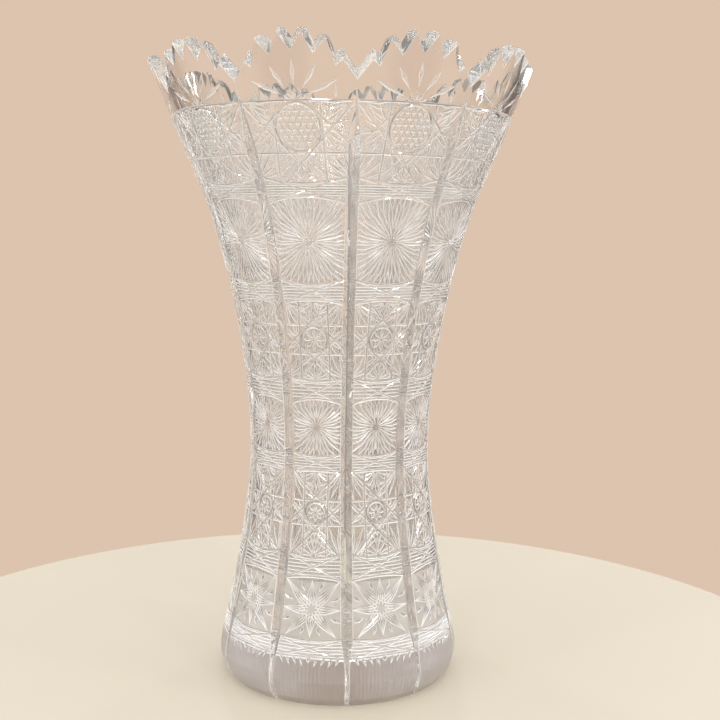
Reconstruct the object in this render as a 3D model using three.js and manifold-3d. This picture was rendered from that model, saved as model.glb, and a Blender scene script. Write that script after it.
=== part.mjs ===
// A tall flared vase of cut lead crystal: one piece of glass, with ten vertical mitre cuts that divide
// it into panels, a scalloped rim cut into saw teeth, a solid foot and a rayed star under the foot.
// Millimetres, +Z up. The origin is the centre of the ring that the foot stands on.
import * as THREE from "three";
import { mergeVertices } from "three/addons/utils/BufferGeometryUtils.js";
import Module from "manifold-3d";

const wasm = await Module();
wasm.setup();

// Driving dimensions.
const HEIGHT = 350; // foot to the top of a scallop
const PANELS = 10; // panels round the vase, one scallop each
const TEETH_PER_PANEL = 6; // saw teeth along one scallop
const WALL_AT_FOOT = 8.5; // radial wall thickness at the bottom of the hollow
const WALL_AT_RIM = 6.5; // and at the rim
const FLOOR_Z = 26; // inside floor, above the solid foot
const FLOOR_ROUND = 10; // radius of the inside corner between floor and wall
const SPARE = 3; // how far cutters and the uncut rim run past the finished glass

// The outside outline, as radius and height: foot, waist and flared mouth.
const OUTLINE = [
  [67.3, 4],
  [69.7, 14],
  [67.3, 28],
  [61.4, 56],
  [54.4, 100],
  [52.2, 132],
  [54.4, 170],
  [62.2, 217],
  [74.1, 262.5],
  [90.0, 302],
  [109.5, HEIGHT],
];
const SAMPLES_PER_SPAN = 2; // samples of the outline between two of its points
const FOOT_RING_OUTER = 64; // flat ring that the vase stands on
const FOOT_RING_INNER = 54;
const FOOT_DISH = 1.6; // depth of the shallow dish inside that ring

// The scalloped rim.
const SCALLOP_RADIUS = 42.5; // radius of each scallop's arc
const SCALLOP_TOP = HEIGHT + 0.4; // top of the arc before the notches take its middle away
const SCALLOP_STEPS = 10; // straight pieces along the edge between the middles of two scallops
const NOTCH_DEPTH = 11; // depth of a notch at the outside face
const VALLEY_NOTCH_DEPTH = 6.5; // the notch where two scallops meet
const NOTCH_HALF_ANGLE = 36; // degrees, each side of the notch
const NOTCH_TILT = 44; // degrees, by which the notch climbs towards the inside
const NOTCH_LEAN = 0.6; // share of the way that a notch leans over to stand square to the edge

// The vertical mitre cuts between panels.
const MITRE_HALF_WIDTH = 3.4;
const MITRE_DEPTH = 2.4;
const MITRE_TOP_Z = 323; // where the cut runs out below the rim
const MITRE_RUN_OUT = 26; // length over which it fades
const MITRE_LEAD_OUT = 6; // how far the wheel rises past that, clear of the glass
const MITRE_FULL_Z = 36; // the cut has its whole depth from here up
const MITRE_THIN_Z = 22; // and is thin from here down, over the plain foot
const MITRE_THIN_SHARE = 0.4; // share of its depth and width there

// The star under the foot.
const STAR_RAYS = 40;
const STAR_RAY_DEPTH = 1.5;
const STAR_RAY_HALF_WIDTH = 2.6;
const STAR_HEART = 6; // radius of the plain glass at the middle of the star
const STAR_RADIUS = 50;

// How the shapes are made.
const CUTTER_INSIDE = 30; // the rim's cutters run this far inside the outside face
const CUTTER_OUTSIDE = 15; // and this far outside it
const CORNER_STEPS = 3; // straight pieces round the inside corner above the floor
const CORNER_GAP = 4; // the wall's samples start this far above that corner
const MERGE_DISTANCE = 1e-3; // corners this near each other are one

const PANEL_ANGLE = (2 * Math.PI) / PANELS;
const FRONT = -Math.PI / 2; // a mitre cut faces -Y

const outline = new THREE.SplineCurve(OUTLINE.map(([r, z]) => new THREE.Vector2(r, z)));

// Samples of the outside, from the ring that it stands on to just past the rim.
function outsidePoints() {
  const points = outline.getPoints(SAMPLES_PER_SPAN * (OUTLINE.length - 1));
  const [below, top] = points.slice(-2);
  const slope = (top.x - below.x) / (top.y - below.y);
  points[points.length - 1] = new THREE.Vector2(top.x + slope * SPARE, top.y + SPARE);
  return [new THREE.Vector2(FOOT_RING_OUTER, 0), ...points];
}

// Outside radius at a height, read from the same samples.
function outsideRadius(z) {
  const points = outsidePoints();
  const i = Math.max(1, points.findIndex((p) => p.y >= z));
  const [a, b] = [points[i - 1], points[i]];
  return a.x + ((b.x - a.x) * (z - a.y)) / (b.y - a.y);
}

function wallThickness(z) {
  return THREE.MathUtils.mapLinear(z, FLOOR_Z, HEIGHT, WALL_AT_FOOT, WALL_AT_RIM);
}

// A closed geometry as a solid.
function solid(geometry) {
  const bare = geometry.index ? geometry.toNonIndexed() : geometry.clone();
  bare.deleteAttribute("normal");
  bare.deleteAttribute("uv");
  const merged = mergeVertices(bare, MERGE_DISTANCE);
  const vertProperties = merged.attributes.position.array;
  const triVerts = new Uint32Array(merged.index.array);
  return new wasm.Manifold(new wasm.Mesh({ numProp: 3, vertProperties, triVerts }));
}

// A solid as a geometry with flat facets.
function geometryOf(made) {
  const mesh = made.getMesh();
  const positions = new THREE.BufferAttribute(new Float32Array(mesh.vertProperties), 3);
  const geometry = new THREE.BufferGeometry().setAttribute("position", positions);
  geometry.setIndex(new THREE.BufferAttribute(new Uint32Array(mesh.triVerts), 1));
  const flat = geometry.toNonIndexed();
  flat.computeVertexNormals();
  return flat;
}

// The blown blank: turned outside and inside, with the dish under the foot. A facet's edge runs up
// to the tip of each tooth.
function blank() {
  const outside = outsidePoints();
  const wallStart = FLOOR_Z + FLOOR_ROUND + CORNER_GAP;
  const inside = outside
    .filter((p, i) => p.y > HEIGHT || (i % SAMPLES_PER_SPAN === 0 && p.y > wallStart))
    .map((p) => new THREE.Vector2(p.x - wallThickness(p.y), p.y))
    .reverse();
  const wallFoot = inside.at(-1);
  const cornerX = wallFoot.x - FLOOR_ROUND;
  const cornerZ = FLOOR_Z + FLOOR_ROUND;
  const corner = new THREE.EllipseCurve(cornerX, cornerZ, FLOOR_ROUND, FLOOR_ROUND, 0, -Math.PI / 2, true);
  const foot = [
    new THREE.Vector2(0, FOOT_DISH),
    new THREE.Vector2(FOOT_RING_INNER, FOOT_DISH),
    new THREE.Vector2(FOOT_RING_INNER + 1, 0),
  ];
  const floor = [...corner.getPoints(CORNER_STEPS), new THREE.Vector2(0, FLOOR_Z)];
  const profile = [...foot, ...outside, ...inside, ...floor];
  const turnedShape = new THREE.LatheGeometry(profile, PANELS * TEETH_PER_PANEL);
  return solid(turnedShape.rotateX(Math.PI / 2).rotateZ(PANEL_ANGLE / TEETH_PER_PANEL / 2));
}

const HEIGHT_RADIUS = outsideRadius(HEIGHT);

// Height of the scalloped edge before the teeth are cut, by angle from the nearest mitre cut.
function scallopZ(angle) {
  const along = HEIGHT_RADIUS * (PANEL_ANGLE / 2 - Math.abs(angle));
  return SCALLOP_TOP - (SCALLOP_RADIUS - Math.sqrt(SCALLOP_RADIUS ** 2 - along ** 2));
}

// Moves a geometry made at azimuth 0, along +X, to an azimuth, and returns it as a solid.
function turned(geometry, azimuth) {
  return solid(geometry.rotateZ(azimuth));
}

// A shape drawn in the tangent and height directions, run through the wall whose outside is at x.
function throughWall(shape, x) {
  const depth = CUTTER_INSIDE + CUTTER_OUTSIDE;
  const geometry = new THREE.ExtrudeGeometry(shape, { depth, bevelEnabled: false });
  geometry.rotateX(Math.PI / 2).rotateZ(Math.PI / 2);
  return geometry.translate(x - CUTTER_INSIDE, 0, 0);
}

// What lies above the edge between the middles of two scallops, and beyond them above the rim.
function scallopCutter(azimuth) {
  const reach = HEIGHT_RADIUS * Math.sin(PANEL_ANGLE / 2) + 4 * SPARE;
  const shape = new THREE.Shape();
  shape.moveTo(reach, HEIGHT);
  shape.lineTo(reach, HEIGHT + 3 * SPARE);
  shape.lineTo(-reach, HEIGHT + 3 * SPARE);
  shape.lineTo(-reach, HEIGHT);
  for (let i = 0; i <= SCALLOP_STEPS; i++) {
    const angle = PANEL_ANGLE * (i / SCALLOP_STEPS - 0.5);
    shape.lineTo(HEIGHT_RADIUS * Math.sin(angle), scallopZ(angle));
  }
  return turned(throughWall(shape, HEIGHT_RADIUS), azimuth);
}

// One notch between two teeth: a V that is deepest at the outside face and climbs inwards. Where it
// lies to one side of a scallop's middle, it leans over with the edge.
function notchCutter(azimuth, angle) {
  const valley = angle === 0;
  const depth = valley ? VALLEY_NOTCH_DEPTH : NOTCH_DEPTH;
  const floor = scallopZ(angle) - depth;
  const fromMiddle = valley ? 0 : angle - (Math.sign(angle) * PANEL_ANGLE) / 2;
  const lean = NOTCH_LEAN * Math.asin((HEIGHT_RADIUS * fromMiddle) / SCALLOP_RADIUS);
  const rise = 2 * NOTCH_DEPTH + SPARE;
  const half = rise * Math.tan(THREE.MathUtils.degToRad(NOTCH_HALF_ANGLE));
  const shape = new THREE.Shape();
  shape.moveTo(0, 0);
  shape.lineTo(half, rise);
  shape.lineTo(-half, rise);
  const geometry = throughWall(shape, 0);
  geometry.rotateX(-lean);
  geometry.rotateY(THREE.MathUtils.degToRad(NOTCH_TILT));
  geometry.translate(outsideRadius(floor), 0, floor);
  return turned(geometry, azimuth + angle);
}

// Depth of a mitre cut at a height below its run-out.
function mitreDepth(z) {
  const share = THREE.MathUtils.mapLinear(z, MITRE_THIN_Z, MITRE_FULL_Z, MITRE_THIN_SHARE, 1);
  return MITRE_DEPTH * THREE.MathUtils.clamp(share, MITRE_THIN_SHARE, 1);
}

// One vertical mitre cut: a V swept up the outside face that runs out of the glass below the rim.
function mitreCutter(azimuth) {
  const end = MITRE_TOP_Z - MITRE_RUN_OUT;
  const below = outsidePoints().filter((p) => p.y < end);
  const bed = below.map((p) => [p.x - mitreDepth(p.y), p.y]);
  bed.unshift([bed[0][0] - SPARE, -SPARE]);
  bed.push([outsideRadius(end) - MITRE_DEPTH, end]);
  bed.push([outsideRadius(MITRE_TOP_Z), MITRE_TOP_Z]);
  bed.push([outsideRadius(MITRE_TOP_Z) + 2 * MITRE_DEPTH, MITRE_TOP_Z + MITRE_LEAD_OUT]);
  const lift = 3 * MITRE_DEPTH;
  const half = (MITRE_HALF_WIDTH / MITRE_DEPTH) * lift;
  // Each row is the section at one height: the bed of the V, and its two lips out in the air.
  const rows = bed.map(([r, z]) => [
    [r, 0, z],
    [r + lift, half, z],
    [r + lift, -half, z],
  ]);
  const corners = rows.flat(2);
  const faces = [0, 1, 2];
  for (let i = 0; i + 1 < rows.length; i++) {
    for (let k = 0; k < 3; k++) {
      const [a, b] = [3 * i + k, 3 * i + ((k + 1) % 3)];
      faces.push(a, b + 3, b, a, a + 3, b + 3);
    }
  }
  const last = 3 * (rows.length - 1);
  faces.push(last, last + 2, last + 1);
  const geometry = new THREE.BufferGeometry();
  geometry.setAttribute("position", new THREE.Float32BufferAttribute(corners, 3));
  geometry.setIndex(faces);
  return turned(geometry, azimuth);
}

// One ray of the star under the foot: a V that is deepest at its middle and ends in two points.
function rayCutter(azimuth) {
  const half = (STAR_RADIUS - STAR_HEART) / 2;
  const ray = new THREE.OctahedronGeometry(1);
  ray.scale(half, STAR_RAY_HALF_WIDTH, STAR_RAY_DEPTH);
  ray.translate(STAR_HEART + half, 0, FOOT_DISH);
  return turned(ray, azimuth);
}

// The finished glass.
function vaseGeometry() {
  let glass = blank();
  for (let panel = 0; panel < PANELS; panel++) {
    const azimuth = FRONT + panel * PANEL_ANGLE;
    glass = glass.subtract(scallopCutter(azimuth));
    glass = glass.subtract(mitreCutter(azimuth));
    for (let tooth = 0; tooth < TEETH_PER_PANEL; tooth++) {
      const angle = PANEL_ANGLE * (tooth / TEETH_PER_PANEL - 0.5);
      glass = glass.subtract(notchCutter(azimuth, angle));
    }
  }
  for (let ray = 0; ray < STAR_RAYS; ray++) {
    glass = glass.subtract(rayCutter((2 * Math.PI * ray) / STAR_RAYS));
  }
  return geometryOf(glass);
}

const crystal = new THREE.MeshStandardMaterial({
  color: 0xf3f4f2,
  roughness: 0.03,
  metalness: 0,
  transparent: true,
  opacity: 0.35,
});

const vase = new THREE.Mesh(vaseGeometry(), crystal);
vase.name = "cut_glass_vessel";

const group = new THREE.Group();
group.add(vase);
export default group;
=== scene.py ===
"""A tall flared vase of cut lead crystal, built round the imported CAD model.

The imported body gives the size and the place. The glass itself is made again here as one fine mesh.
Half of one panel is drawn flat, in millimetres: x runs across the panel from its middle, y is the
height of a point above the outside surface, and z is the height above the table. Wheel cuts are
taken out of that flat half panel by booleans. It is then bent round the vase and repeated.
"""
import math

import bpy
import bmesh
import numpy as np
from mathutils import Matrix, Vector


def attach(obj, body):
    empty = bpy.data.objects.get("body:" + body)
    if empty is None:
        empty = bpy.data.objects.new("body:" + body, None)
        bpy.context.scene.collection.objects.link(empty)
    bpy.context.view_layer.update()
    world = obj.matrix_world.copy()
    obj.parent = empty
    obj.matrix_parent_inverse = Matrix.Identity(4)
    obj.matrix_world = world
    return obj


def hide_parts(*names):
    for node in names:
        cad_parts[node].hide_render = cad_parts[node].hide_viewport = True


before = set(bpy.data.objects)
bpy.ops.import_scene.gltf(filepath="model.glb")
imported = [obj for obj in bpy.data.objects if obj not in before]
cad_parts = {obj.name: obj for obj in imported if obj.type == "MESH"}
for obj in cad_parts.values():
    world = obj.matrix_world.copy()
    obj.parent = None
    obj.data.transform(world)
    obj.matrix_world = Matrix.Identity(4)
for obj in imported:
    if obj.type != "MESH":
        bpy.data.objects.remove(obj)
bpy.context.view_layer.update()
MM = 0.001

# ---------------------------------------------------------------- driving dimensions
# The body, in millimetres and radians.
HEIGHT = 350.0
PANELS = 10
PANEL_ANGLE = 2 * math.pi / PANELS
# The outside outline, as radius and height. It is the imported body's own outline.
OUTLINE = [
    (67.3, 4), (69.7, 14), (67.3, 28), (61.4, 56), (54.4, 100), (52.2, 132),
    (54.4, 170), (62.2, 217), (74.1, 262.5), (90.0, 302), (109.5, HEIGHT),
]
SKIN = 0.62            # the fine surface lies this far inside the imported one
OUTLINE_STEPS = 24     # points on each span of the outline
WALL_AT_FOOT = 8.5
WALL_AT_RIM = 6.5
FLOOR_Z = 26.0
FLOOR_ROUND = 10.0
FOOT_RING_OUTER = 64.0
FOOT_RING_INNER = 54.0
FOOT_RING_BEVEL = 1.0
FOOT_DISH = 1.6

# The rim and its teeth.
SCALLOP_RADIUS = 42.5
SCALLOP_TOP = HEIGHT - 0.1
SCALLOP_STEPS = 14
TEETH_PER_PANEL = 6
NOTCH_DEPTH = 11.0
VALLEY_NOTCH_DEPTH = 6.5
NOTCH_HALF_ANGLE = math.radians(36)
NOTCH_TILT = math.radians(44)
NOTCH_LEAN = 0.6

# The upright mitre cuts.
MITRE_HALF_WIDTH = 3.4
MITRE_DEPTH = 2.6
MITRE_TOP_Z = 323.0
MITRE_RUN_OUT = 26.0
MITRE_LEAD_OUT = 6.0   # how far the wheel goes on above the top of the cut, clear of the glass
MITRE_FULL_Z = 36.0
MITRE_THIN_Z = 22.0
MITRE_THIN_SHARE = 0.4

# The star under the foot.
STAR_RAYS_PER_HALF = 2
STAR_RAY_DEPTH = 1.4
STAR_RAY_SPREAD = 0.42
STAR_RAY_AIR = 0.5
STAR_RAY_SHARES = [(10, 0), (24, 0.6), (44, 1), (FOOT_RING_INNER - 1, 0)]   # share of the depth by radius

# The cut pattern. Angles are in degrees.
LACE_TOP_Z = 316.2     # top of the cutting, apart from the fans
STAR_BAND_TOP_Z = 68.0
AIR = 0.8              # how far a cutter stands out of the surface
SPARE = 3.0            # how far the uncut rim and the cutters run past the finished glass
RING_SIDES = 28
HATCH_TURNS = (30, 90, 150)
HATCH_PITCH = 2.9
HATCH_SHIFT = 0.3      # keeps the three families of lines from crossing at one point
PETALS = 8             # leaves inside a small button
TOUCH_GAP = 0.7        # from a button's ring to the middle of the cuts that touch it
ROOM_FOR_LEAVES = 5    # a strip beside the button narrower than this gets no leaves
CORNER_SPREADS = (-27, -9, 9, 27)
OUTWARD_SPREADS = (0, 24, 50)
INWARD_SPREADS = (0, 28, 56, 78)
TIE_SPREADS = (19, 37)
NODE_ANGLES = (28, 52, 76, 104, 128, 152)
BOW_TIE_STEPS = 6
BOW_TIE_LINES = 5
HAND = 0.14            # how far a hand-cut ray strays, as a share of the space between rays
HAND_PERIOD = 5.1
NEEDLE_WIDEST = 0.6    # where along it a needle is widest
NEEDLE_STARTS = (1.1, 0.3)   # where needles start by turns, as a share of the sunburst's heart
NEEDLE_OVERRUN = 1.2   # how far they run on into the mitre cut
STAR_POINTS = 8
STAR_LINES = (-1.5, -0.5, 0.5, 1.5)
STAR_LINE_PITCH = 1.9
FRINGE_COUNT = 9
FAN_APEX_Z = 316.4
FAN_SPREADS = (-66, -36, 0, 36, 66)
FAN_ENDS = (24, 20, 19, 20, 24)
FAN_START = 7.0
FAN_HEART_START = 1.2
FAN_HEART_END = 6.4

# Touches of the wheel, as width and depth.
BUTTON_RING = (2.1, 0.75)
FRAME_CUT = (1.6, 0.5)
CROSS_CUT = (1.2, 0.45)
BORDER_CUT = (1.5, 0.5)
DIAGONAL_CUT = (1.3, 0.42)
LEVEL_CUT = (0.95, 0.4)
TIE_CUT = (0.9, 0.35)
HATCH_CUT = (1.7, 0.5)
BUTTON_LEAF = (1.9, 0.6)
CORNER_LEAF = (1.7, 0.6)
STAR_LEAF = (1.6, 0.6)
STAR_SPARK = (1.9, 0.9)
FRINGE_LEAF = (1.7, 0.8)
FAN_LEAF = (2.4, 0.5)
FAN_HEART = (1.7, 0.6)
VALLEY_LEAF = (1.4, 0.5)
LEAF_WIDTH = 1.7
NODE_LEAF_WIDTH = 1.6
LEAF_DEPTH_SHARE = 0.36     # depth of a slender leaf, as a share of its width
NEEDLE_DEPTH_SHARE = 0.3
NEEDLE_OVERLAP = 1.12       # neighbouring needles of a sunburst overlap by this

# How the pieces of the mesh are joined, in millimetres and then in metres.
SEAM_GAP = 0.02        # a cut that lies on a seam is set this far past it, so no sliver is left
SEAM_SNAP = 0.3        # a corner of a seam this near the seam's plane is put on it
SLICE_DISTANCE = 1e-4
MERGE_DISTANCE = 2e-6
SLIVER = 1e-6
WELD_DISTANCE = 5e-7
TINY = 1e-6

# The stage, in metres and degrees.
WORLD_STRENGTH = 1.25
WALL = (0.575, 0.44, 0.343)
WHITE = (1.0, 1.0, 1.0)
BLACK = (0.0, 0.0, 0.0)
CEILING = WHITE
FLOOR_GLOW = (0.62, 0.56, 0.45)
DIM = (0.20, 0.18, 0.17)
DIM_PANEL = (0.22, 0.22, 0.24)
PANELS_OF_LIGHT = 4
SIDE_GLOW = (1.15, 1.2, 1.3)
FLOOR_RADIUS = 0.30
FLOOR_DROP = 0.0004    # keeps the floor just clear of the foot
FLOOR_COLOR = (0.515, 0.46, 0.36)
FLOOR_ROUGHNESS = 0.55
LAMPS = [
    (-1.2, -0.7, 0.9), (-0.6, -1.2, 1.3), (0.1, -1.0, 1.6), (0.7, -1.1, 1.2), (1.2, -0.6, 1.0),
    (-0.9, 1.0, 1.2), (0.0, 1.3, 1.4), (0.9, 1.0, 1.1),
]
LAMP_SIZE = 0.16
LAMP_POWER = 4.6
LAMP_COLOR = (0.96, 0.98, 1.0)
LAMP_AIM = (0, 0, 0.2)
CAMERA_DISTANCE = 0.6437
CAMERA_HEIGHT = 0.2506
CAMERA_TURN = 4.27
CAMERA_PITCH = 6.19
CAMERA_YAW = 1.03
CAMERA_ROLL = 0.52
CAMERA_LENS = 55.95
CAMERA_SENSOR = 36

# Heights at which the flat blank is divided, closer together where the outline bends sharply.
MITRE_FADE_Z = MITRE_TOP_Z - MITRE_RUN_OUT
ROWS = [0, FOOT_DISH, 4, 7, 10, 14, 18, 22, FLOOR_Z, 31, FLOOR_Z + FLOOR_ROUND]
ROWS += [float(z) for z in np.linspace(ROWS[-1], MITRE_FADE_Z, 35)[1:]]
ROWS += [float(z) for z in np.linspace(MITRE_FADE_Z, LACE_TOP_Z, 4)[1:]]
ROWS += [MITRE_TOP_Z]
ROWS += [float(z) for z in np.linspace(MITRE_TOP_Z, HEIGHT + SPARE, 5)[1:]]

COLUMNS = 4            # the blank is divided into this many strips across half a panel
FLOOR_CORNER_STEPS = 6
AXIS_RADII = (0, 12, 24, 36)     # rings that divide the inside floor and the dish
DISH_RADII = AXIS_RADII + (45, FOOT_RING_INNER)

CRYSTAL_IOR = 1.545
CLEAR = (0.99, 0.985, 0.98)
WARM = (1.0, 0.985, 0.96)
WARMER = (1.0, 0.97, 0.92)
# The foot's grey-mauve is painted shade: it darkens the clear foot to stand in for the shade seen through
# it.
PAINTED_FOOT_SHADE = (0.54, 0.485, 0.465)
SHADOW_TINT = (0.86, 0.85, 0.83)
FOOT_RIBS = 200
PAINTED_HIGHLIGHT_DEPTH = 0.45      # the painted highlight along a cut's edge (less clear, so whiter glass) reaches this far down its walls
CRISP_ANGLE = math.radians(11)   # facets that meet at more than this keep a sharp edge

# Material slots of the glass.
POLISHED, LACE, FOOT, STAR_GROUND, MITRE_CUT, TOOTH, BRIGHT_CUT, FINE_CUT, SEAM = range(9)


# ---------------------------------------------------------------- the turned outline
def catmull_rom(a, b, c, d, t):
    """One span of a uniform Catmull-Rom curve, from b to c."""
    v0, v1 = (c - a) / 2, (d - b) / 2
    return (2 * b - 2 * c + v0 + v1) * t**3 + (-3 * b + 3 * c - 2 * v0 - v1) * t**2 + v0 * t + b


def outline_samples():
    """The outline as many points: heights and radii."""
    points = np.array(OUTLINE, float)
    last = len(points) - 1
    samples = [(FOOT_RING_OUTER, 0.0)]
    for i in range(last):
        a, b, c, d = points[max(i - 1, 0)], points[i], points[i + 1], points[min(i + 2, last)]
        samples += [catmull_rom(a, b, c, d, k / OUTLINE_STEPS) for k in range(OUTLINE_STEPS)]
    samples.append(points[last])
    slope = (samples[-1][0] - samples[-2][0]) / (samples[-1][1] - samples[-2][1])
    samples.append((points[last][0] + 2 * SPARE * slope, HEIGHT + 2 * SPARE))
    samples = np.array(samples)
    return samples[:, 1], samples[:, 0] - SKIN


OUTLINE_Z, OUTLINE_R = outline_samples()


def radius(z):
    return np.interp(z, OUTLINE_Z, OUTLINE_R)


RIM_RADIUS = float(radius(HEIGHT))


def half_width(z):
    """Half a panel's width, along the surface."""
    return radius(z) * PANEL_ANGLE / 2


def usable(z):
    """From the middle of a panel to the lip of its mitre cut."""
    return half_width(z) - MITRE_HALF_WIDTH


def wall(z):
    return WALL_AT_FOOT + (WALL_AT_RIM - WALL_AT_FOOT) * (z - FLOOR_Z) / (HEIGHT - FLOOR_Z)


# ---------------------------------------------------------------- wheel cuts in the flat panel
CUTS = []              # every cutter: its corners, its faces and its material


def add_cut(corners, faces, material):
    """Keeps a cutter if any of it is in this half panel."""
    if max(c[0] for c in corners) > SEAM_GAP:
        CUTS.append((corners, faces, material))


def trough(count, closed=False):
    """The faces of a V cutter whose corners come in threes: the bottom, then its two top edges."""
    faces = []
    for i in range(count if closed else count - 1):
        a, b = 3 * i, 3 * ((i + 1) % count)
        faces += [(a, b, b + 1, a + 1), (a + 1, b + 1, b + 2, a + 2), (a + 2, b + 2, b, a)]
    if not closed:
        end = 3 * (count - 1)
        faces += [(0, 1, 2), (end, end + 2, end + 1)]
    return faces


def sweep(points, shares, width, depth, material=BRIGHT_CUT, closed=False):
    """A V cut along points (x, z) on the surface. Its depth and width at each are a share of the full
    ones, so a share of 0 is where the wheel leaves the glass."""
    count = len(points)
    slope = width / 2 / depth
    corners = []
    for i, (x, z) in enumerate(points):
        before = points[(i - 1) % count] if closed or i else points[0]
        after = points[(i + 1) % count] if closed or i + 1 < count else points[-1]
        along = Vector((after[0] - before[0], after[1] - before[1])).normalized()
        deep = depth * shares[i]
        side = (deep + AIR) * slope
        corners.append((x, -deep, z))
        corners.append((x - along.y * side, AIR, z + along.x * side))
        corners.append((x + along.y * side, AIR, z - along.x * side))
    add_cut(corners, trough(count, closed), material)


def leaf(p, q, width, depth, at=0.5, material=BRIGHT_CUT):
    """One touch of the wheel: pointed at p and q, and widest at a share of the way along."""
    middle = (p[0] + (q[0] - p[0]) * at, p[1] + (q[1] - p[1]) * at)
    sweep([p, middle, q], [0, 1, 0], width, depth, material)


def line(p, q, width, depth, material=BRIGHT_CUT):
    """A cut of even depth from p to q."""
    sweep([p, q], [1, 1], width, depth, material)


def mirrored(make, p, q, *args, **kwargs):
    """The same cut on both sides of the panel's middle."""
    make(p, q, *args, **kwargs)
    if abs(p[0]) > TINY or abs(q[0]) > TINY:
        make((-p[0], p[1]), (-q[0], q[1]), *args, **kwargs)


def polar(centre, angle, distance):
    """A point at an angle, in degrees from straight up, and a distance from the centre."""
    turn = math.radians(angle)
    return centre[0] + distance * math.sin(turn), centre[1] + distance * math.cos(turn)


def mirrored_leaf(centre, angle, start, end, width):
    """A leaf that points away from a centre, on both sides of the panel's middle."""
    depth = LEAF_DEPTH_SHARE * width
    mirrored(leaf, polar(centre, angle, start), polar(centre, angle, end), width, depth, 0.55)


def ring(centre, r, width, depth):
    """A V cut round a circle."""
    points = [polar(centre, -360 * (i + 0.5) / RING_SIDES, r) for i in range(RING_SIDES)]
    sweep(points, [1] * RING_SIDES, width, depth, closed=True)


def cross_hatch(centre, r):
    """Crossed families of fine lines inside a circle, which leave small points standing."""
    reach = int(r / HATCH_PITCH)
    for turn in HATCH_TURNS:
        for k in range(-reach, reach + 1):
            offset = (k + HATCH_SHIFT) * HATCH_PITCH
            half = math.sqrt(max(r * r - offset * offset, 0))
            if half < HATCH_PITCH / 2:
                continue
            middle = polar(centre, turn + 90, offset)
            line(polar(middle, turn, -half), polar(middle, turn, half), *HATCH_CUT, FINE_CUT)


def fan(centre, start, ends, width, depth):
    """Leaves that spread upwards from a centre, each with its own end."""
    for angle, end in zip(FAN_SPREADS, ends):
        leaf(polar(centre, angle, start), polar(centre, angle, end), width, depth, 0.55)


def bow_tie(top_corner, top_middle, bottom_middle, bottom_corner):
    """The strip between two bands: a border that bends in from each side, fine level lines between
    them and two long shallow diagonals."""
    for corner, middle in ((top_corner, top_middle), (bottom_corner, bottom_middle)):
        reach = half_width(corner)
        xs = [reach * (2 * i / BOW_TIE_STEPS - 1) for i in range(BOW_TIE_STEPS + 1)]
        points = [(x, middle + (corner - middle) * (x / reach) ** 2) for x in xs]
        sweep(points, [1] * len(points), *BORDER_CUT)
    for i in range(BOW_TIE_LINES):
        z = bottom_middle + (top_middle - bottom_middle) * (i + 0.5) / BOW_TIE_LINES
        line((-half_width(z), z), (half_width(z), z), *LEVEL_CUT)
    reach = half_width(bottom_corner)
    mirrored(line, (-reach, top_corner), (reach, bottom_corner), *DIAGONAL_CUT)


def reach_in_frame(centre, angle, top, bottom, side):
    """How far a ray from the centre runs before it meets the frame of its band."""
    turn = math.radians(angle)
    across, up = math.sin(turn), math.cos(turn)
    limits = [side / abs(across)] if abs(across) > TINY else []
    if up > TINY:
        limits.append((top - centre[1]) / up)
    if up < -TINY:
        limits.append((bottom - centre[1]) / up)
    return min(limits)


def sunburst(centre_z, top, bottom, rays, heart):
    """Needles side by side from a fine heart out to the frame. Every other one starts farther out, and
    drops of uncut glass are left between their ends."""
    centre = (0, centre_z)
    side = usable(centre_z) + NEEDLE_OVERRUN
    for i in range(rays):
        angle = 360 * (i + 0.5 + HAND * math.sin(HAND_PERIOD * i)) / rays
        start = heart * NEEDLE_STARTS[i % 2]
        end = reach_in_frame(centre, angle, top, bottom, side)
        width = NEEDLE_OVERLAP * 2 * math.pi * (start + (end - start) * NEEDLE_WIDEST) / rays
        depth = NEEDLE_DEPTH_SHARE * width
        leaf(polar(centre, angle, start), polar(centre, angle, end), width, depth, NEEDLE_WIDEST, FINE_CUT)


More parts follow.
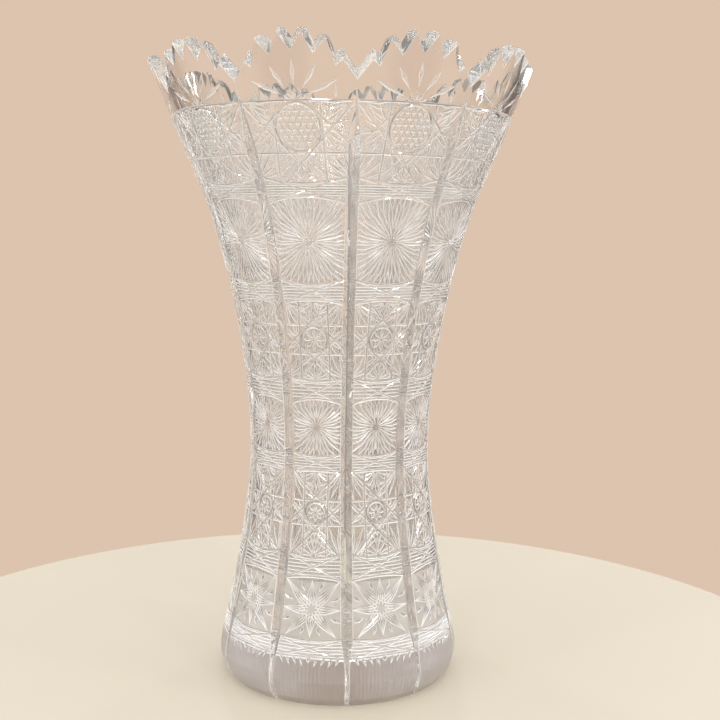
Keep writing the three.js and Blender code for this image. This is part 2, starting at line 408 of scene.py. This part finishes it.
def button_band(centre_z, r, top, bottom, star):
    """A round button held by straight cuts that touch it on eight sides. Fans of leaves spring from the
    corners, from both sides of the button and from above and below it, so that little is left uncut."""
    centre = (0, centre_z)
    side = half_width(centre_z)
    edge = usable(centre_z)
    ring(centre, r, *BUTTON_RING)
    if star:
        for i in range(PETALS):
            angle = 360 * i / PETALS
            leaf(polar(centre, angle, 0.5), polar(centre, angle, r - 1.1), *BUTTON_LEAF, 0.6)
    else:
        cross_hatch(centre, r - 1.2)
    touch = r + TOUCH_GAP
    mirrored(line, (touch, bottom), (touch, top), *FRAME_CUT)
    for level in (centre_z - touch, centre_z + touch):
        line((-side, level), (side, level), *CROSS_CUT)
    for level, way in ((top, 1), (bottom, -1)):
        room = abs(level - centre_z)
        # A slanting cut touches the button and runs from the border to the frame.
        slant = touch * math.sqrt(2)
        mirrored(line, (slant - room, level), (side, centre_z + way * (slant - side)), *FRAME_CUT)
        # Four leaves from the corner towards the button.
        corner = (edge + 0.6, level - way * 0.4)
        heading = math.degrees(math.atan2(-corner[0], centre_z - level))
        reach = 0.78 * (math.hypot(corner[0], room) - r)
        for spread in CORNER_SPREADS:
            start, end = (polar(corner, heading + spread, away) for away in (0.8, reach))
            mirrored(leaf, start, end, *CORNER_LEAF)
        if room - touch < ROOM_FOR_LEAVES:
            continue
        # Leaves from the button to the border and back, and a fine line across to it from each side.
        up = 0 if way > 0 else 180
        near, far = (0, centre_z + way * touch), (0, level)
        length = min(room - touch, 1.1 * touch)
        for spread in OUTWARD_SPREADS:
            run = 0.95 * length / math.cos(math.radians(spread))
            mirrored_leaf(near, up + spread * way, 0.6, run, LEAF_WIDTH)
        for spread in INWARD_SPREADS:
            mirrored_leaf(far, up + 180 - spread * way, 1.0, 0.62 * (room - touch), LEAF_WIDTH)
        for spread in TIE_SPREADS:
            run = room / math.cos(math.radians(spread))
            mirrored(line, (touch, centre_z), polar((touch, centre_z), up - spread * way, run), *TIE_CUT)
    # Leaves outwards from the point where the button touches its upright.
    node = (touch, centre_z)
    for angle in NODE_ANGLES:
        reach = min((edge - touch) / math.sin(math.radians(angle)), 0.9 * touch + 3)
        mirrored_leaf(node, angle, 0.9, reach - 0.5, NODE_LEAF_WIDTH)


def star_band(centre_z, top, bottom):
    """An eight-pointed star, each point made of lines side by side, with clear diamonds between."""
    centre = (0, centre_z)
    side = usable(centre_z) + 1.0
    for i in range(STAR_POINTS):
        angle = 360 * i / STAR_POINTS
        end = min(reach_in_frame(centre, angle, top - 0.5, bottom + 0.5, side), side * 1.3)
        tip = polar(centre, angle, end)
        for spread in STAR_LINES:
            start = polar(polar(centre, angle, 1.5), angle + 90, spread * STAR_LINE_PITCH)
            leaf(start, tip, *STAR_LEAF, 0.42)
    for i in range(STAR_POINTS):
        angle = 360 * (i + 0.5) / STAR_POINTS
        end = reach_in_frame(centre, angle, top - 1, bottom + 1, side)
        leaf(polar(centre, angle, end * 0.62), polar(centre, angle, end * 0.95), *STAR_SPARK)


def foot_fringe(z):
    """The ragged lower edge of the cutting, above the plain foot."""
    for i in range(FRINGE_COUNT):
        x = usable(z) * (2 * (i + 0.5) / FRINGE_COUNT - 1)
        leaf((x + 1.2, z + 1.5), (x - 1.0, z - 3.4 - 0.8 * (i % 2)), *FRINGE_LEAF, 0.45)


def panel_cuts():
    """Every band of the pattern, from the rim down. Heights are above the table."""
    apex = (0, FAN_APEX_Z)
    fan(apex, FAN_START, FAN_ENDS, *FAN_LEAF)
    fan(apex, FAN_HEART_START, [FAN_HEART_END] * len(FAN_SPREADS), *FAN_HEART)
    mirrored(leaf, (20, 317.4), (20.6, 324), *VALLEY_LEAF)
    button_band(304.5, 11.5, 316.2, 278.4, star=False)
    bow_tie(281.5, 278.0, 271.7, 267.4)
    sunburst(248.7, 271.6, 226.6, 44, 6.0)
    bow_tie(229.9, 226.5, 218.6, 215.7)
    button_band(197.4, 7.1, 217.4, 175.8, star=True)
    bow_tie(177.2, 174.7, 165.4, 161.4)
    sunburst(149.5, 165.2, 133.8, 36, 4.4)
    bow_tie(136.2, 133.6, 126.0, 124.8)
    button_band(103.3, 5.8, 125.0, 80.0, star=True)
    bow_tie(82.6, 78.9, 69.4, 66.8)
    star_band(52.1, 68.4, 37.0)
    bow_tie(37.3, 36.0, 27.5, 26.5)
    foot_fringe(26.6)


def mitre_cut():
    """The upright cut between two panels, which fades out below the rim and thins over the foot."""
    lead_out = MITRE_TOP_Z + MITRE_LEAD_OUT
    heights = [-SPARE] + [z for z in ROWS if z <= MITRE_TOP_Z] + [lead_out]
    share_at = [MITRE_THIN_Z, MITRE_FULL_Z, MITRE_FADE_Z, MITRE_TOP_Z, lead_out]
    shares = [MITRE_THIN_SHARE, 1, 1, 0, -0.5]
    slope = MITRE_HALF_WIDTH / MITRE_DEPTH
    corners = []
    for z in heights:
        deep = MITRE_DEPTH * np.interp(z, share_at, shares)
        side = (deep + 2 * AIR) * slope
        x = half_width(z) + SEAM_GAP
        corners += [(x, -deep, z), (x - side, 2 * AIR, z), (x + side, 2 * AIR, z)]
    add_cut(corners, trough(len(heights)), MITRE_CUT)


def scallop_z(angle):
    """Height of the scalloped edge before it is notched, by angle from the panel's middle."""
    along = RIM_RADIUS * angle
    return SCALLOP_TOP - SCALLOP_RADIUS + math.sqrt(SCALLOP_RADIUS**2 - along**2)


def scallop_cut():
    """What lies above the scalloped edge, from one panel's middle to past its mitre cut."""
    angles = [PANEL_ANGLE / 2 * i / SCALLOP_STEPS for i in range(SCALLOP_STEPS + 1)]
    edge = [(angle * radius(scallop_z(angle)), scallop_z(angle)) for angle in angles]
    edge[0] = (-1.0, SCALLOP_TOP)
    top = HEIGHT + 4 * SPARE
    outline = edge + [(edge[-1][0] + SPARE, edge[-1][1]), (edge[-1][0] + SPARE, top), (-1.0, top)]
    count = len(outline)
    corners = [(x, y, z) for y in (2 * AIR, -2 * WALL_AT_FOOT) for x, z in outline]
    faces = [(i, (i + 1) % count, count + (i + 1) % count, count + i) for i in range(count)]
    faces += [tuple(reversed(range(count))), tuple(range(count, 2 * count))]
    add_cut(corners, faces, POLISHED)


def notch_cut(angle, depth):
    """The gap between two teeth: deepest outside, climbing inwards, and square to the edge."""
    foot = scallop_z(min(angle, PANEL_ANGLE / 2)) - depth
    lean = 0 if angle >= PANEL_ANGLE / 2 else NOTCH_LEAN * math.asin(RIM_RADIUS * angle / SCALLOP_RADIUS)
    rise = 2 * NOTCH_DEPTH + SPARE
    corners = []
    for y in (SPARE, -2 * WALL_AT_FOOT):
        base = foot - y * math.tan(NOTCH_TILT)
        x = angle * float(radius(foot))
        corners.append((x, y, base))
        for side in (-1, 1):
            turn = lean + side * NOTCH_HALF_ANGLE
            reach = rise / math.cos(turn)
            corners.append((x + reach * math.sin(turn), y, base + rise))
    faces = [(0, 3, 4, 1), (1, 4, 5, 2), (2, 5, 3, 0), (0, 1, 2), (3, 5, 4)]
    add_cut(corners, faces, TOOTH)


def rim_cuts():
    """The scalloped edge, and the notches that leave its teeth standing."""
    scallop_cut()
    step = PANEL_ANGLE / TEETH_PER_PANEL
    for i in range(TEETH_PER_PANEL // 2):
        notch_cut(i * step, NOTCH_DEPTH)
    notch_cut(PANEL_ANGLE / 2, VALLEY_NOTCH_DEPTH)


def foot_cuts():
    """Rays of the star under the foot. They narrow towards the axis when the panel is bent round."""
    pitch = half_width(FOOT_DISH) / STAR_RAYS_PER_HALF
    slope = pitch * STAR_RAY_SPREAD / STAR_RAY_DEPTH
    low = FOOT_DISH - STAR_RAY_AIR
    for i in range(STAR_RAYS_PER_HALF):
        x = pitch * (i + 0.5)
        corners = []
        for r, share in STAR_RAY_SHARES:
            y = r - radius(FOOT_DISH)
            deep = STAR_RAY_DEPTH * share
            side = (deep + STAR_RAY_AIR) * slope
            corners += [(x, y, FOOT_DISH + deep), (x - side, y, low), (x + side, y, low)]
        add_cut(corners, trough(len(STAR_RAY_SHARES)), BRIGHT_CUT)


# ---------------------------------------------------------------- the blank, flat
def profile():
    """The half section of the blank, as (height above the outside surface, z) going round it."""
    outside = [(0.0, float(z)) for z in ROWS]
    inside = [(-wall(z), float(z)) for z in reversed(ROWS) if z >= FLOOR_Z + FLOOR_ROUND]
    corner_x = radius(FLOOR_Z + FLOOR_ROUND) - wall(FLOOR_Z + FLOOR_ROUND) - FLOOR_ROUND
    corner = []
    for i in range(1, FLOOR_CORNER_STEPS + 1):
        turn = math.pi / 2 * i / FLOOR_CORNER_STEPS
        z = FLOOR_Z + FLOOR_ROUND * (1 - math.sin(turn))
        corner.append((corner_x + FLOOR_ROUND * math.cos(turn) - radius(z), z))
    floor = [(r - radius(FLOOR_Z), FLOOR_Z) for r in reversed(AXIS_RADII)]
    dish = [(r - radius(FOOT_DISH), FOOT_DISH) for r in DISH_RADII]
    ring_edge = (FOOT_RING_INNER + FOOT_RING_BEVEL - radius(0), 0.0)
    return outside + inside + corner + floor + dish + [ring_edge]


def make_object(name, corners, faces, materials):
    """A mesh in millimetres, with every finish of the glass in its slots."""
    mesh = bpy.data.meshes.new(name)
    mesh.from_pydata(corners, [], faces)
    for slot in GLASS:
        mesh.materials.append(slot)
    mesh.polygons.foreach_set("material_index", materials)
    made = bpy.data.objects.new(name, mesh)
    bpy.context.scene.collection.objects.link(made)
    return made


def surface_at(a, b):
    """The material of the blank between two points of its section."""
    middle = (a[1] + b[1]) / 2
    if a[0] or b[0] or middle > LACE_TOP_Z:
        return POLISHED
    if middle < FLOOR_Z:
        return FOOT
    return STAR_GROUND if middle < STAR_BAND_TOP_Z else LACE


def make_blank():
    """Half a panel of uncut glass. The faces that will meet the next half, or lie on the axis, are
    seams."""
    section = profile()
    count = len(section)
    corners = []
    for i in range(COLUMNS + 1):
        share = i / COLUMNS
        corners += [(share * half_width(z), y, z) for y, z in section]
    faces, materials = [], []
    for i in range(COLUMNS):
        for j in range(count):
            k = (j + 1) % count
            a, b = i * count, (i + 1) * count
            faces.append((a + j, a + k, b + k, b + j))
            on_axis = all(abs(section[n][0] + radius(section[n][1])) < TINY for n in (j, k))
            materials.append(SEAM if on_axis else surface_at(section[j], section[k]))
    faces.append(tuple(reversed(range(count))))
    faces.append(tuple(range(COLUMNS * count, (COLUMNS + 1) * count)))
    materials += [SEAM, SEAM]
    blank = make_object("blank", corners, faces, materials)
    slice_level(blank.data, sorted({z for y, z in section}))
    return blank


def slice_level(shape, heights):
    """Splits every face at these heights, so that a seam follows the panel's own edge exactly."""
    mesh = bmesh.new()
    mesh.from_mesh(shape)
    for z in heights:
        everything = mesh.verts[:] + mesh.edges[:] + mesh.faces[:]
        bmesh.ops.bisect_plane(
            mesh, geom=everything, dist=SLICE_DISTANCE, plane_co=(0, 0, z), plane_no=(0, 0, 1)
        )
    mesh.to_mesh(shape)
    mesh.free()


# ---------------------------------------------------------------- cutting, bending and repeating
def grouped_cuts():
    """The cutters in groups whose members stay clear of each other, so that each group is one solid."""
    groups = []
    for corners, faces, material in CUTS:
        xs, zs = [c[0] for c in corners], [c[2] for c in corners]
        box = (min(xs), max(xs), min(zs), max(zs))
        for group in groups:
            clear = all(
                box[0] > b[1] or box[1] < b[0] or box[2] > b[3] or box[3] < b[2] for b in group["boxes"]
            )
            if clear:
                break
        else:
            group = {"boxes": [], "corners": [], "faces": [], "materials": []}
            groups.append(group)
        start = len(group["corners"])
        group["boxes"].append(box)
        group["corners"] += corners
        group["faces"] += [tuple(start + n for n in face) for face in faces]
        group["materials"] += [material] * len(faces)
    return groups


def cut_blank(blank):
    """Takes every group of cutters out of the blank."""
    cutters = []
    for i, group in enumerate(grouped_cuts()):
        cutter = make_object(f"cutter_{i}", group["corners"], group["faces"], group["materials"])
        cutters.append(cutter)
        cut = blank.modifiers.new(cutter.name, "BOOLEAN")
        cut.operation = "DIFFERENCE"
        cut.solver = "MANIFOLD"
        cut.object = cutter
    shape = bpy.data.meshes.new_from_object(blank.evaluated_get(bpy.context.evaluated_depsgraph_get()))
    for cutter in cutters:
        bpy.data.objects.remove(cutter)
    return shape


def bent(shape):
    """The cut half panel bent round the vase, in metres, without its seams."""
    mesh = bmesh.new()
    mesh.from_mesh(shape)
    for face in mesh.faces:
        if face.material_index != SEAM:
            continue
        for vert in face.verts:
            full = half_width(vert.co.z)
            edge = full if vert.co.x > full / 2 else 0
            if abs(vert.co.x - edge) < SEAM_SNAP:
                vert.co.x = edge
    seams = [face for face in mesh.faces if face.material_index == SEAM]
    bmesh.ops.delete(mesh, geom=seams, context="FACES")
    bmesh.ops.triangulate(mesh, faces=mesh.faces[:])
    for vert in mesh.verts:
        x, y, z = vert.co
        angle = x / radius(z)
        out = max(radius(z) + y, 0.0) * MM
        vert.co = (out * math.sin(angle), -out * math.cos(angle), z * MM)
    bmesh.ops.remove_doubles(mesh, verts=mesh.verts[:], dist=MERGE_DISTANCE)
    bmesh.ops.dissolve_degenerate(mesh, dist=SLIVER, edges=mesh.edges[:])
    bmesh.ops.triangulate(mesh, faces=mesh.faces[:])
    return mesh


def repeated(half):
    """The whole vase from its bent half panel: a mirror image makes the panel, turns make the rest."""
    half.verts.ensure_lookup_table()
    corners = np.array([v.co for v in half.verts])
    faces = np.array([[v.index for v in f.verts] for f in half.faces])
    slots = np.array([f.material_index for f in half.faces])
    mirror = corners * np.array([-1, 1, 1])
    panel_corners = np.vstack([corners, mirror])
    panel_faces = np.vstack([faces, faces[:, ::-1] + len(corners)])
    all_corners, all_faces = [], []
    for i in range(PANELS):
        turn = PANEL_ANGLE * (i + 0.5)
        c, s = math.cos(turn), math.sin(turn)
        spin = np.array([[c, -s, 0], [s, c, 0], [0, 0, 1]])
        all_corners.append(panel_corners @ spin.T)
        all_faces.append(panel_faces + i * len(panel_corners))
    mesh = bpy.data.meshes.new("cut_crystal_vase")
    mesh.from_pydata(np.vstack(all_corners).tolist(), [], np.vstack(all_faces).tolist())
    mesh.polygons.foreach_set("material_index", np.tile(slots, 2 * PANELS))
    return mesh


def weld(mesh):
    """Joins the repeated halves into one closed skin, and notes its crisp edges and how deep it is cut."""
    work = bmesh.new()
    work.from_mesh(mesh)
    bmesh.ops.remove_doubles(work, verts=work.verts[:], dist=WELD_DISTANCE)
    bmesh.ops.recalc_face_normals(work, faces=work.faces[:])
    work.to_mesh(mesh)
    work.free()
    mesh.polygons.foreach_set("use_smooth", [True] * len(mesh.polygons))
    mesh.set_sharp_from_angle(angle=CRISP_ANGLE)
    places = np.empty(3 * len(mesh.vertices))
    mesh.vertices.foreach_get("co", places)
    x, y, z = places.reshape(-1, 3).T / MM
    depths = mesh.attributes.new("cut_depth", "FLOAT", "POINT")
    depths.data.foreach_set("value", np.maximum(radius(z) - np.hypot(x, y), 0))


# ---------------------------------------------------------------- materials
def calculate(tree, operation, a, b=0.0):
    """The result of one sum on two sockets or numbers."""
    node = tree.nodes.new("ShaderNodeMath")
    node.operation = operation
    for k, value in enumerate((a, b)):
        if isinstance(value, bpy.types.NodeSocket):
            tree.links.new(value, node.inputs[k])
        else:
            node.inputs[k].default_value = value
    return node.outputs["Value"]


def glass(name, roughness, clearness=1.0, edge=None, color=CLEAR, grain=None, ribs=None):
    """Lead crystal. Lamps reach through it, as they do through real glass. edge is the clearness where
    a cut breaks the surface, which is whiter than its walls: a painted highlight along the cut. grain is
    the scale of the marks that cutting and polishing leave, how strongly they show, and their depth in
    metres. ribs is how many faint ribs run up the glass round the whole vase, and the same two measures
    of them."""
    material = bpy.data.materials.new(name)
    material.use_nodes = True
    nodes, links = material.node_tree.nodes, material.node_tree.links
    shader = nodes["Principled BSDF"]
    shader.inputs["Base Color"].default_value = (*color, 1)
    shader.inputs["Roughness"].default_value = roughness
    shader.inputs["IOR"].default_value = CRYSTAL_IOR
    shader.inputs["Transmission Weight"].default_value = clearness
    # Where a cut breaks the surface the glass is made less clear and so whiter: a painted highlight along
    # the cut's edge.
    if edge is not None:
        depth = nodes.new("ShaderNodeAttribute")
        depth.attribute_name = "cut_depth"
        fade = nodes.new("ShaderNodeMapRange")
        fade.inputs["From Max"].default_value = PAINTED_HIGHLIGHT_DEPTH
        fade.inputs["To Min"].default_value = edge
        fade.inputs["To Max"].default_value = clearness
        links.new(depth.outputs["Fac"], fade.inputs["Value"])
        links.new(fade.outputs["Result"], shader.inputs["Transmission Weight"])
    clear = nodes.new("ShaderNodeBsdfTransparent")
    clear.inputs["Color"].default_value = (*SHADOW_TINT, 1)
    path = nodes.new("ShaderNodeLightPath")
    choose = nodes.new("ShaderNodeMixShader")
    links.new(path.outputs["Is Shadow Ray"], choose.inputs["Fac"])
    links.new(shader.outputs["BSDF"], choose.inputs[1])
    links.new(clear.outputs["BSDF"], choose.inputs[2])
    links.new(choose.outputs["Shader"], nodes["Material Output"].inputs["Surface"])
    place = nodes.new("ShaderNodeTexCoord")
    if grain:
        scale, strength, depth = grain
        marks = nodes.new("ShaderNodeTexVoronoi")
        marks.inputs["Scale"].default_value = scale
        links.new(place.outputs["Object"], marks.inputs["Vector"])
        height = marks.outputs["Distance"]
    if ribs:
        count, strength, depth = ribs
        split = nodes.new("ShaderNodeSeparateXYZ")
        links.new(place.outputs["Object"], split.inputs["Vector"])
        bearing = calculate(material.node_tree, "ARCTAN2", split.outputs["X"], split.outputs["Y"])
        turns = calculate(material.node_tree, "MULTIPLY", bearing, float(count))
        height = calculate(material.node_tree, "SINE", turns)
    if grain or ribs:
        bump = nodes.new("ShaderNodeBump")
        bump.inputs["Strength"].default_value = strength
        bump.inputs["Distance"].default_value = depth
        links.new(height, bump.inputs["Height"])
        links.new(bump.outputs["Normal"], shader.inputs["Normal"])
    return material


GLASS = [
    glass("crystal_polished", 0.01),
    glass("crystal_lace", 0.12, 0.95, grain=(850, 0.32, 0.0004)),
    # The foot is less clear and tinted darker grey-mauve: painted shade for what is seen through it.
    glass("crystal_foot", 0.35, 0.6, color=PAINTED_FOOT_SHADE, ribs=(FOOT_RIBS, 0.25, 0.0002)),
    glass("crystal_star_ground", 0.1, 0.7, color=WARM, grain=(850, 0.25, 0.0004)),
    glass("crystal_mitre_cut", 0.04, 0.82, edge=0.15, color=WARM),
    glass("crystal_tooth", 0.03, 0.75, edge=0.2, color=WARMER),
    glass("crystal_bright_cut", 0.04, 0.85, edge=0.15),
    glass("crystal_fine_cut", 0.2, 0.85, edge=0.2, grain=(1500, 0.3, 0.0001)),
    glass("crystal_seam", 0.02),
]


# ---------------------------------------------------------------- the vase
panel_cuts()
mitre_cut()
rim_cuts()
foot_cuts()
vase_mesh = repeated(bent(cut_blank(make_blank())))
weld(vase_mesh)
bpy.data.objects.remove(bpy.data.objects["blank"])
for slot in GLASS[:SEAM]:
    vase_mesh.materials.append(slot)
vase = bpy.data.objects.new("cut_crystal_vase", vase_mesh)
bpy.context.scene.collection.objects.link(vase)
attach(vase, "root")
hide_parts("cut_glass_vessel")


# ---------------------------------------------------------------- floor, light and camera
def plain_material(name, color, roughness):
    material = bpy.data.materials.new(name)
    material.use_nodes = True
    shader = material.node_tree.nodes["Principled BSDF"]
    shader.inputs["Base Color"].default_value = (*color, 1)
    shader.inputs["Roughness"].default_value = roughness
    return material


def make_floor():
    mesh = bpy.data.meshes.new("floor")
    work = bmesh.new()
    bmesh.ops.create_circle(work, cap_ends=True, radius=FLOOR_RADIUS, segments=96)
    work.to_mesh(mesh)
    work.free()
    mesh.materials.append(plain_material("floor_cream", FLOOR_COLOR, FLOOR_ROUGHNESS))
    floor = bpy.data.objects.new("floor", mesh)
    floor.location.z = -FLOOR_DROP
    bpy.context.scene.collection.objects.link(floor)


def soft_light(name, place):
    """A round lamp that points at the middle of the vase."""
    light = bpy.data.lights.new(name, "AREA")
    light.shape = "DISK"
    light.size = LAMP_SIZE
    light.energy = LAMP_POWER
    light.color = LAMP_COLOR
    lamp = bpy.data.objects.new(name, light)
    lamp.location = place
    lamp.rotation_euler = (Vector(LAMP_AIM) - Vector(place)).to_track_quat("-Z", "Y").to_euler()
    bpy.context.scene.collection.objects.link(lamp)


def make_world():
    """A plain warm surround. What the glass sees in it also has a bright ceiling over a dim band, and
    dim upright panels between bright ones, as glass is lit in a studio."""
    world = bpy.data.worlds.new("surround")
    bpy.context.scene.world = world
    world.use_nodes = True
    nodes, links = world.node_tree.nodes, world.node_tree.links
    place = nodes.new("ShaderNodeTexCoord")
    split = nodes.new("ShaderNodeSeparateXYZ")
    links.new(place.outputs["Generated"], split.inputs["Vector"])

    def ramp(source, low, high, stops):
        node = nodes.new("ShaderNodeMapRange")
        node.inputs["From Min"].default_value = low
        node.inputs["From Max"].default_value = high
        links.new(source, node.inputs["Value"])
        scale = nodes.new("ShaderNodeValToRGB")
        links.new(node.outputs["Result"], scale.inputs["Fac"])
        elements = scale.color_ramp.elements
        while len(elements) < len(stops):
            elements.new(0.5)
        for element, (value, color) in zip(elements, stops):
            element.position = (value - low) / (high - low)
            element.color = (*color, 1)
        return scale.outputs["Color"]

    def blend(factor, a, b, kind="MIX"):
        node = nodes.new("ShaderNodeMix")
        node.data_type = "RGBA"
        node.blend_type = kind
        for socket, value in (("Factor", factor), ("A", a), ("B", b)):
            if isinstance(value, bpy.types.NodeSocket):
                links.new(value, node.inputs[socket])
            else:
                node.inputs[socket].default_value = value
        return node.outputs["Result"]

    x, y, z = (split.outputs[axis] for axis in "XYZ")
    low = [(-0.6, FLOOR_GLOW), (-0.3, WALL)]
    plain = ramp(z, -1, 1, low + [(0.4, WALL), (0.8, CEILING)])
    rich = ramp(z, -1, 1, low + [(0.32, WALL), (0.5, DIM), (0.6, DIM), (0.7, CEILING)])
    bearing = calculate(world.node_tree, "ARCTAN2", x, y)
    turns = calculate(world.node_tree, "MULTIPLY", bearing, float(PANELS_OF_LIGHT))
    wave = calculate(world.node_tree, "COSINE", turns)
    panels = ramp(wave, -1, 1, [(-0.8, DIM_PANEL), (-0.1, WHITE)])
    low_down = ramp(z, -1, 1, [(0.5, WHITE), (0.7, BLACK)])
    rich = blend(low_down, rich, blend(1.0, rich, panels, "MULTIPLY"))
    sides = ramp(y, -1, 1, [(-0.5, WHITE), (-0.2, SIDE_GLOW), (0.2, SIDE_GLOW), (0.5, WHITE)])
    rich = blend(1.0, rich, sides, "MULTIPLY")
    path = nodes.new("ShaderNodeLightPath")
    color = blend(path.outputs["Is Camera Ray"], rich, plain)
    links.new(color, nodes["Background"].inputs["Color"])
    nodes["Background"].inputs["Strength"].default_value = WORLD_STRENGTH


def make_camera():
    """A little above half the vase's height, and turned a little off a mitre cut."""
    camera = bpy.data.cameras.new("camera")
    camera.lens = CAMERA_LENS
    camera.sensor_width = CAMERA_SENSOR
    view = bpy.data.objects.new("camera", camera)
    turn = math.radians(CAMERA_TURN)
    view.location = (-CAMERA_DISTANCE * math.sin(turn), -CAMERA_DISTANCE * math.cos(turn), CAMERA_HEIGHT)
    view.rotation_mode = "ZXY"
    bpy.context.scene.collection.objects.link(view)
    pitch, yaw, roll = (math.radians(a) for a in (CAMERA_PITCH, CAMERA_YAW, CAMERA_ROLL))
    aim = Matrix.Rotation(-turn - yaw, 3, "Z") @ Matrix.Rotation(math.pi / 2 - pitch, 3, "X")
    aim = aim @ Matrix.Rotation(roll, 3, "Z")
    view.rotation_euler = aim.to_euler("ZXY")
    bpy.context.scene.camera = view


make_floor()
make_world()
make_camera()
for i, place in enumerate(LAMPS):
    soft_light(f"lamp_{i}", place)

scene = bpy.context.scene
scene.cycles.max_bounces = 24
scene.cycles.transmission_bounces = 24
scene.cycles.glossy_bounces = 8
scene.cycles.transparent_max_bounces = 16
scene.cycles.caustics_reflective = False
scene.cycles.caustics_refractive = False
scene.view_settings.view_transform = "Standard"
